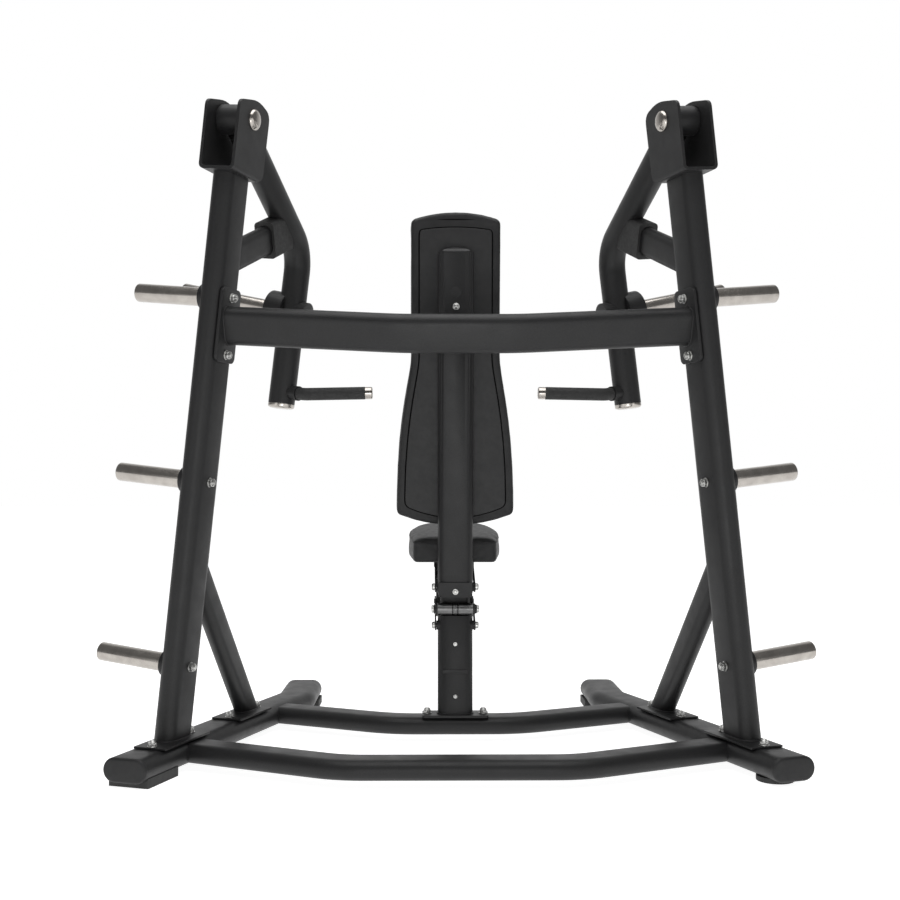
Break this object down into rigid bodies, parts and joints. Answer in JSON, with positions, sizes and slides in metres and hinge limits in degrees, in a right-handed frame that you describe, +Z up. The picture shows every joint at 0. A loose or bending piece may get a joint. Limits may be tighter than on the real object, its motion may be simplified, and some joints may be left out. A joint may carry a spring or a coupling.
{
  "type": "chest press machine",
  "caption": "Plate-loaded chest press with converging overhead press arms, side storage horns, a leaning back pad and a height-adjustable seat.",
  "frame": {"origin": "on the floor, under the middle of the machine's box, midway between its mirror halves", "axes": "+Z up; +Y the way the seated user faces and presses; +X towards the user's right hand"},
  "size_m": [1.8842, 1.162, 1.7162],
  "materials": {
    "frame": "satin black powder coat",
    "chrome": "polished",
    "steel": "satin",
    "rubber": "matte",
    "plastic": "matte, lightly grained",
    "upholstery": "soft black vinyl"
  },
  "bodies": {
    "base": {"foot_tube_right": "frame", "foot_tube_left": "frame", "near_base_beam": "frame", "far_base_beam": "frame", "upright_right": "frame", "upright_left": "frame", "pivot_bracket_right": "frame", "pivot_bracket_left": "frame", "rear_brace_right": "frame", "rear_brace_left": "frame", "stop_arm_right": "frame", "stop_arm_left": "frame", "middle_beam": "frame", "back_post": "frame", "seat_post": "frame", "storage_horn_low_right": "chrome", "storage_horn_low_left": "chrome", "storage_horn_middle_right": "chrome", "storage_horn_middle_left": "chrome", "storage_horn_high_right": "chrome", "storage_horn_high_left": "chrome", "pivot_shaft_right": "chrome", "pivot_shaft_left": "chrome", "pivot_cap_right": "chrome", "pivot_cap_left": "chrome", "seat_bolt_upper": "steel", "seat_bolt_lower": "steel", "near_foot_pad_right": "rubber", "near_foot_pad_left": "rubber", "far_foot_pad_right": "rubber", "far_foot_pad_left": "rubber", "stop_rubber_right": "rubber", "stop_rubber_left": "rubber", "near_end_cap_right": "plastic", "near_end_cap_left": "plastic", "far_end_cap_right": "plastic", "far_end_cap_left": "plastic", "back_panel": "plastic", "back_pad": "upholstery"},
    "right_arm": {"press_arm_right": "frame", "pivot_bearing_inner_right": "steel", "pivot_bearing_outer_right": "steel", "load_horn_right": "chrome", "arm_plug_right": "chrome", "grip_sleeve_right": "rubber", "grip_cap_right": "chrome"},
    "left_arm": {"press_arm_left": "frame", "pivot_bearing_inner_left": "steel", "pivot_bearing_outer_left": "steel", "load_horn_left": "chrome", "arm_plug_left": "chrome", "grip_sleeve_left": "rubber", "grip_cap_left": "chrome"},
    "upper_link": {"seat_link_upper": "frame"},
    "lower_link": {"seat_link_lower": "frame"},
    "seat": {"seat_carriage": "frame", "seat_pad": "upholstery"},
    "strut_cylinder": {"gas_cylinder": "plastic"},
    "strut_rod": {"gas_rod": "steel"},
    "lever": {"release_lever": "frame"}
  },
  "joints": [
    {"name": "right_arm_swing", "type": "hinge", "parent": "base", "child": "right_arm", "pos_m": [0.56685, -0.41265, 1.66132], "axis": [0.9417, 0.318, 0.1099], "range_deg": [0, 50]},
    {"name": "left_arm_swing", "type": "hinge", "parent": "base", "child": "left_arm", "pos_m": [-0.56685, -0.41265, 1.66132], "axis": [0.9417, -0.318, -0.1099], "range_deg": [0, 50]},
    {"name": "seat_lift", "type": "hinge", "parent": "base", "child": "upper_link", "pos_m": [0, -0.023, 0.435], "axis": [1, 0, 0], "range_deg": [-15, 0]},
    {"name": "lower_link_swing", "type": "hinge", "parent": "base", "child": "lower_link", "pos_m": [0, -0.023, 0.326], "axis": [1, 0, 0], "range_deg": [-15, 0]},
    {"name": "seat_level", "type": "hinge", "parent": "upper_link", "child": "seat", "pos_m": [0, 0.139, 0.488], "axis": [1, 0, 0], "range_deg": [0, 15]},
    {"name": "strut_swing", "type": "hinge", "parent": "base", "child": "strut_cylinder", "pos_m": [0, 0.047, 0.118], "axis": [1, 0, 0], "range_deg": [-4.3, 0]},
    {"name": "strut_stroke", "type": "slide", "parent": "strut_cylinder", "child": "strut_rod", "axis": [0, 0.4036, 0.9149], "range_m": [-0.0357, 0]},
    {"name": "lever_pull", "type": "hinge", "parent": "seat", "child": "lever", "pos_m": [0.0645, 0.227, 0.508], "axis": [1, 0, 0], "range_deg": [-12, 0], "stiffness_Nm_per_rad": 2}
  ],
  "couplings": [
    {"joint": "lower_link_swing", "follows": "seat_lift", "ratio": 1},
    {"joint": "seat_level", "follows": "seat_lift", "ratio": -1},
    {"joint": "strut_swing", "follows": "seat_lift", "ratio": 0.2853},
    {"joint": "strut_stroke", "follows": "seat_lift", "m_per_rad": 0.1362}
  ]
}
